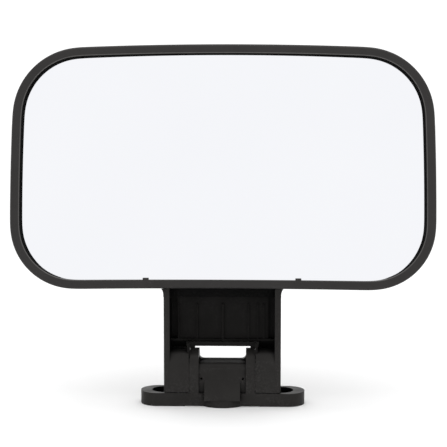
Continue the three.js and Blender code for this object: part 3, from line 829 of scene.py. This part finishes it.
def arm_blank():
    """The arm's side view pushed across, trimmed to its front view with the flare into the head."""
    meeting = math.degrees(math.acos(ARM_D / CHEEK_R))
    side = [(-ARM_D, PIVOT_Z - CHEEK_R)] + arc((0, PIVOT_Z), CHEEK_R, -90, -meeting, 20)
    side += [(ARM_D, ARM_TOP), (-ARM_D, ARM_TOP)]
    front = [(ARM_W, FLARE_LOW)]
    for i in range(1, 7):
        turn = math.radians(15 * i)
        front.append((ARM_W + FLARE_OUT * (1 - math.cos(turn)), FLARE_LOW + FLARE_RISE * math.sin(turn)))
    front.append((ARM_W + FLARE_OUT, ARM_TOP + PAST))
    outline = [(ARM_W, 0)] + front + [(-x, z) for x, z in reversed(front)] + [(-ARM_W, 0)]
    blank = prism(side, "x", -ARM_W - 3 * PAST, ARM_W + 3 * PAST)
    combine(blank, "INTERSECT", [prism(outline, "y", -ARM_D - PAST, ARM_D + PAST)])
    head_space = block(-60 * MM, 60 * MM, -40 * MM, 60 * MM, ARM_TRIM, 60 * MM)
    return cut(blank, to_head(head_space), *corner_cuts(FLARE_LOW - PAST))


def corner_cuts(high):
    """Tools that round the arm's four upright edges below its flare."""
    tools = []
    for side in (-1, 1):
        for depth in (-1, 1):
            x, y = side * (ARM_W - CORNER_ROUND), depth * (ARM_D - CORNER_ROUND)
            curve = []
            for turn in [math.radians(15 * i) for i in range(7)]:
                across, along = CORNER_ROUND * math.sin(turn), CORNER_ROUND * math.cos(turn)
                curve.append((x + side * across, y + depth * along))
            far_x, far_y = side * (ARM_W + PAST), depth * (ARM_D + PAST)
            tools.append(prism([(x, far_y), *curve, (far_x, y), (far_x, far_y)], "z", 0, high))
    return tools


def yoke_cuts():
    """Tools for the gap between the cheeks and for the window below the bridge."""
    front, back = -ARM_D - PAST, ARM_D + PAST
    return [
        block(-CHEEK_IN, CHEEK_IN, front, back, 0, CORNER_LOW),
        block(-CORNER_X, CORNER_X, front, back, 0, BRIDGE_LOW),
        block(-CHEEK_IN, CHEEK_IN, front, BRIDGE_Y, 0, PANEL_LOW),
    ]


def brow_shape(high):
    """The space in front of a cheek's brow, which rounds back from the cheek's front face."""
    front, back = -ARM_D - PAST, BROW_RADIUS - ARM_D
    curve = arc((back, BROW_START), BROW_RADIUS, 180, 90, 16)
    return [(front, BROW_START)] + curve + [(back, high), (front, high)]


def bay_cuts():
    """Tools for the bay and its roof, the slots round its panel, and the cheeks' hollows and brows."""
    front = -ARM_D - PAST
    under = PANEL_LOW - LEDGE
    tools = [
        block(-BAY_W, BAY_W, front, PANEL_Y, under, BAY_HIGH),
        block(-BAY_W, BAY_W, PANEL_Y - PAST, SLOT_Y, PANEL_HIGH, BAY_HIGH),
        block(-BAY_W, BAY_W, front, ROOF_FRONT, BAY_HIGH - PAST, ROOF_TOP),
    ]
    for side in (-1, 1):
        slot, hollow, cheek = (span(side, inner, BAY_W) for inner in (PANEL_W, HOLLOW_X, CHEEK_IN))
        tools.append(block(*slot, PANEL_Y - PAST, SLOT_Y, PANEL_LOW, BAY_HIGH))
        tools.append(block(*hollow, BROW_RADIUS - ARM_D, SLOT_Y, HOLLOW_LOW, under + 0.01 * MM))
        tools.append(prism(brow_shape(under + PAST / 2), "x", *cheek))
    return tools


def ledge_and_ribs():
    front, back = PANEL_Y - RIB_OUT, PANEL_Y + PAST
    tools = [block(-BAY_W - PAST / 2, BAY_W + PAST / 2, front, back, PANEL_LOW - LEDGE, PANEL_LOW)]
    for x in RIBS:
        half = MIDDLE_RIB_HALF_WIDTH if x == 0 else RIB_HALF_WIDTH
        tools.append(block(x - half, x + half, front, back, PANEL_LOW - LEDGE / 2, PANEL_HIGH - RIB_STOP))
    return tools


def cheek_lip(side):
    """A low lip inside a cheek's front edge and a thin fin above it, which cover the gap beside the lug."""
    xs = span(side, LUG_OUT + LIP_PLAY, CHEEK_IN + PAST)
    lip = block(*xs, LIP_FRONT, LIP_BACK, LIP_LOW, BROW_START + PAST)
    step = block(*xs, STEP_FRONT, FIN_BACK, BROW_START - PAST, STEP_TOP)
    fin = block(*xs, FIN_FRONT, FIN_BACK, FIN_LOW, PANEL_LOW - LEDGE / 2)
    return join(lip, step, fin)


def back_pocket():
    return block(-BACK_POCKET_W, BACK_POCKET_W, ARM_D - BACK_POCKET_DEPTH, ARM_D + PAST,
                 BACK_POCKET_LOW, BACK_POCKET_HIGH)


def hinge_cuts():
    """Tools for the bolt's bore, the pockets of its head and nut, and the caps' seats."""
    centre = (0, PIVOT_Z)
    reach = ARM_W + PAST
    hexagon = arc(centre, HEX_POCKET / math.sqrt(3), 0, 360, 6)[:-1]
    return [
        disc("x", BOLT_BORE, -reach, reach, centre, 40),
        prism(hexagon, "x", -reach, -HEX_FLOOR),
        disc("x", NUT_POCKET_R, NUT_FLOOR, reach, centre),
        disc("x", CAP_RADIUS + GAP, -reach, -CAP_FLOOR, centre),
        disc("x", CAP_RADIUS + GAP, CAP_FLOOR, reach, centre),
    ]


def arm_screws():
    """The arm screws' CAD nodes, each with its place across the arm."""
    places = []
    for name in sorted(frame["nodes"]):
        if name.startswith("arm_screw"):
            low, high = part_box(name)
            places.append((name, (low.x + high.x) / 2))
    return places


def arm_screw_cuts(x):
    """Tools for an arm screw's well and pilot hole."""
    well = disc("z", ARM_WELL_R, ARM_WELL_LOW, ARM_SEAT, (x, ARM_SCREW_Y), 32)
    pilot = disc("z", ARM_PILOT_R, -4 * MM, 2 * MM, (x, ARM_SCREW_Y), 24)
    return to_head(well), to_head(pilot)


def paint_bay_shade_and_highlight(arm):
    """Paints shade on the bay, the bridge's front and the fins, a darker shade at the bay's top, and a
    highlight on the ledge's edge.
    """
    near, margin = 0.05 * MM, 0.2 * MM
    wide, front, back, top = BAY_W + near, ROOF_FRONT - margin, SLOT_Y + margin / 2, ARM_TOP - 3 * MM
    # painted shade on the bay above the ledge, then on the bridge's front
    paint_region(arm, "recess", (-wide, front, PANEL_LOW + margin / 2), (wide, back, top))
    paint_region(arm, "recess", (-CHEEK_IN - GAP, BRIDGE_Y - margin, CORNER_LOW - margin / 2),
                  (CHEEK_IN + GAP, SLOT_Y, PANEL_LOW - LEDGE - near))
    # a painted highlight along the ledge's front edge
    ledge_front = PANEL_Y - RIB_OUT
    paint_region(arm, "highlight_band", (-BAY_W, ledge_front - margin / 2, PANEL_LOW - 0.75 * LEDGE),
                  (BAY_W, ledge_front + 0.65 * MM, PANEL_LOW + near))
    # painted shade on the fins
    for side in (-1, 1):
        inner, outer = span(side, LUG_OUT, CHEEK_IN + PAST + near)
        paint_region(arm, "recess", (inner, FIN_FRONT - margin, BROW_START + 2 * MM),
                      (outer, FIN_BACK + margin, PANEL_LOW))
    # a near-black painted shade at the bay's top, under the roof
    paint_region(arm, "lip", (-wide, front, PANEL_HIGH + 4 * margin), (wide, back, top))


def make_arm():
    arm = cut(arm_blank(), *yoke_cuts(), *bay_cuts())
    join(arm, *ledge_and_ribs(), cheek_lip(-1), cheek_lip(1))
    cut(arm, back_pocket(), *hinge_cuts())
    for _, x in arm_screws():
        cut(arm, *arm_screw_cuts(x))
    soften(arm, 0.5 * MM)
    paint_bay_shade_and_highlight(arm)
    return finish_piece(smooth(arm), "ribbed_arm", "head", "black_plastic", "tilt_arm")


def make_caps():
    for name, side in (("pivot_cap_left", -1), ("pivot_cap_right", 1)):
        low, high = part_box(name)
        inner, outer = sorted((abs(low.x), abs(high.x)))
        face = [(0, inner), (CAP_RADIUS, inner)]
        face += [(CAP_RADIUS - inset * MM, outer - depth * MM) for inset, depth in CAP_FACE]
        face.append((0, outer - CAP_MIDDLE))
        cap = lathe(name, [(radius, side * x) for radius, x in face], "x", (0, PIVOT_Z))
        finish_piece(smooth(cap, 40), f"{name}_fine", "head", "black_plastic", name)


# ---------- base ----------

PLATE_END = 49.1 * MM
PLATE_D = 10.3 * MM  # half its depth, and the radius of its ends and of the lugs
PLATE_TOP = 7.9 * MM
RELIEF_W = 22.3 * MM  # the underside stands clear between the ears
RELIEF_DEPTH = 0.4 * MM
HOLE_X = 35 * MM
HOLE_R = 4.5 * MM
SEAT_R = 7.4 * MM
SEAT_Z = 3.4 * MM
HOLE_CUT_TOP = 4 * MM
SEAT_CUT_TOP = 9 * MM
BOSS_R = 14.6 * MM
BOSS_HIGH = 4.1 * MM

LUG_IN = 14 * MM
LUG_OUT = 19.3 * MM
LUG_ROOT = 6 * MM
BORE_REACH = 21 * MM  # past the lugs' outer faces
FRICTION_FLOOR = 18.1 * MM
FRICTION_R = 8.3 * MM
SKIRT_PLAY = 0.12 * MM  # how close the lugs' skirts come to the cheeks
SKIRT_OUTER_R = 10.1 * MM
SKIRT_INNER_R = 9 * MM
SKIRT_ARC = (-5, 48)
SKIRT_Y = (8.5 * MM, 9.6 * MM)
SKIRT_LOW = 7 * MM

BARREL_R = 4.3 * MM
BARREL_ARC = (60, 120)
WEB_FRONT = 9.2 * MM
WEB_LOW = 3 * MM
WEB_TOP = 26 * MM
WEB_ROUND = 3.2 * MM
WEB_POCKET_X = 12.3 * MM
WEB_POCKET_Z = 16.6 * MM
WEB_POCKET_R = 0.75 * MM
WEB_POCKET_BACK = -6 * MM
GUSSET_W = 10.6 * MM
GUSSET_LOW = 1 * MM
GUSSET_TOP = 16 * MM
GUSSET_TOE = ((14, 4.1), (12.2, 7.9), (10.8, 11), (9.8, 13.6))  # how far forward, and how high, in mm

FILLET_RUN = 2.8 * MM
FILLET_RISE = 2.6 * MM
FILLET_R = 2.9 * MM
FILLET_W = 2.1 * MM


def base_plate():
    end = PLATE_END - PLATE_D
    outline = arc((end, 0), PLATE_D, -90, 90, 40) + arc((-end, 0), PLATE_D, 90, 270, 40)
    plate = prism(outline, "z", 0, PLATE_TOP)
    return cut(plate, block(-RELIEF_W, RELIEF_W, -PLATE_D - PAST, PLATE_D + PAST, -PAST, RELIEF_DEPTH))


def base_web():
    """The web between the lugs: an upright front, a rounded shoulder and a barrel about the bolt."""
    inner, level = WEB_FRONT - WEB_ROUND, WEB_TOP - WEB_ROUND
    shape = [(-WEB_FRONT, WEB_LOW), (WEB_FRONT, WEB_LOW)] + arc((inner, level), WEB_ROUND, 0, 90, 10)
    shape += arc((0, PIVOT_Z), BARREL_R, *BARREL_ARC, 12)
    shape += arc((-inner, level), WEB_ROUND, 90, 180, 10)
    web = prism(shape, "x", -LUG_IN - PAST, LUG_IN + PAST)
    for side in (-1, 1):
        centre = (side * WEB_POCKET_X, WEB_POCKET_Z)
        cut(web, disc("y", WEB_POCKET_R, -WEB_FRONT - 0.4 * MM, WEB_POCKET_BACK, centre, 20))
    return web


def base_gusset():
    toe = [(-out * MM, z * MM) for out, z in GUSSET_TOE]
    shape = [(0, GUSSET_LOW), *toe, (-WEB_FRONT, GUSSET_TOP), (0, GUSSET_TOP)]
    return prism(shape, "x", -GUSSET_W, GUSSET_W)


def base_lug(side):
    """A round-topped lug, its friction washer's pocket, and a thin skirt that covers the gap to the cheek."""
    centre = (0, PIVOT_Z)
    shape = [(-PLATE_D, LUG_ROOT), (PLATE_D, LUG_ROOT)] + arc(centre, PLATE_D, 0, 180, 40)
    lug = prism(shape, "x", *span(side, LUG_IN, LUG_OUT))
    cut(lug, disc("x", FRICTION_R, *span(side, FRICTION_FLOOR, BORE_REACH), centre))
    xs = span(side, LUG_OUT - PAST, CHEEK_IN - SKIRT_PLAY)
    low, high = SKIRT_ARC
    upper = arc(centre, SKIRT_OUTER_R, low, high, 12) + arc(centre, SKIRT_INNER_R, high, low, 12)
    return join(lug, block(*xs, *SKIRT_Y, SKIRT_LOW, PIVOT_Z + PAST), prism(upper, "x", *xs))


def barrel_fillet(side):
    """The hollow curve in which the barrel runs up into a lug."""
    top = PIVOT_Z + BARREL_R
    inner, outer = side * (LUG_IN - FILLET_RUN), side * (LUG_IN + PAST)
    curve = arc((inner, top + FILLET_RISE), FILLET_R, -90, 0 if side > 0 else -180, 8)
    shape = [(inner, top - 0.4 * MM)] + curve + [(outer, top + FILLET_RISE), (outer, top - 2 * MM)]
    return prism(shape, "y", -FILLET_W, FILLET_W)


def make_base():
    base = base_plate()
    boss = disc("z", BOSS_R, 0, BOSS_HIGH, (0, 0), 96)
    join(base, boss, base_web(), base_gusset(), base_lug(-1), base_lug(1))
    join(base, barrel_fillet(-1), barrel_fillet(1))
    cut(base, disc("x", BOLT_BORE, -BORE_REACH, BORE_REACH, (0, PIVOT_Z), 40))
    for side in (-1, 1):
        centre = (side * HOLE_X, 0)
        cut(base, disc("z", SEAT_R, SEAT_Z, SEAT_CUT_TOP, centre),
            disc("z", HOLE_R, -PAST, HOLE_CUT_TOP, centre, 48))
    soften(base, 0.5 * MM)
    return finish_piece(smooth(base), "two_ear_base", "base", "black_plastic", "base_bracket")


# ---------- pieces kept from the CAD ----------


def dress_cad_nodes():
    for name, kept in frame["nodes"].items():
        kept.data.materials.clear()
        kept.data.materials.append(MATERIALS[SLOTS[name]])


# ---------- stage, light and camera ----------

FLOOR_RADIUS = 6
FLOOR_DEPTH = 0.02
SKY_STRENGTH = 1.15
LENS = 100.7  # mm
SENSOR = 36  # mm
CAMERA_AIM = Vector((0.001, -0.017, 0.1101))
CAMERA_DISTANCE = 0.7245
CAMERA_YAW = math.radians(1.7)
CAMERA_PITCH = math.radians(-6.1)


def make_floor():
    floor = prism(arc((0, 0), FLOOR_RADIUS, 0, 360, 96)[:-1], "z", -FLOOR_DEPTH, 0)
    floor.name = "floor"
    floor.data.materials.append(pale_floor())


def area_light(name, place, target, size, power):
    data = bpy.data.lights.new(name, "AREA")
    data.shape = "SQUARE"
    data.size = size
    data.energy = power
    made = bpy.data.objects.new(name, data)
    bpy.context.scene.collection.objects.link(made)
    made.location = place
    made.rotation_euler = (Vector(target) - Vector(place)).to_track_quat("-Z", "Y").to_euler()


def make_light():
    """An even white surround and a soft light from above."""
    world = bpy.data.worlds.new("studio")
    bpy.context.scene.world = world
    world.use_nodes = True
    sky = world.node_tree.nodes["Background"]
    sky.inputs["Color"].default_value = (1, 1, 1, 1)
    sky.inputs["Strength"].default_value = SKY_STRENGTH
    area_light("overhead", place=(0, -0.1, 1.3), target=(0, 0, 0.1), size=1.2, power=5)
    bpy.context.scene.view_settings.view_transform = "Standard"


def make_camera():
    """Level with the head's upper part, looking slightly down, a little to the right of the middle."""
    data = bpy.data.cameras.new("camera")
    data.sensor_width = SENSOR
    data.lens = LENS
    made = bpy.data.objects.new("camera", data)
    bpy.context.scene.collection.objects.link(made)
    level = math.cos(CAMERA_PITCH)
    ahead = Vector((-math.sin(CAMERA_YAW) * level, math.cos(CAMERA_YAW) * level, math.sin(CAMERA_PITCH)))
    made.location = CAMERA_AIM - ahead * CAMERA_DISTANCE
    made.rotation_euler = ahead.to_track_quat("-Z", "Y").to_euler()
    bpy.context.scene.camera = made


dress_cad_nodes()
make_bezel()
make_glass()
make_foam()
make_housing()
make_rear_screws()
make_arm()
make_arm_screws()
make_caps()
make_base()
make_floor()
make_light()
make_camera()
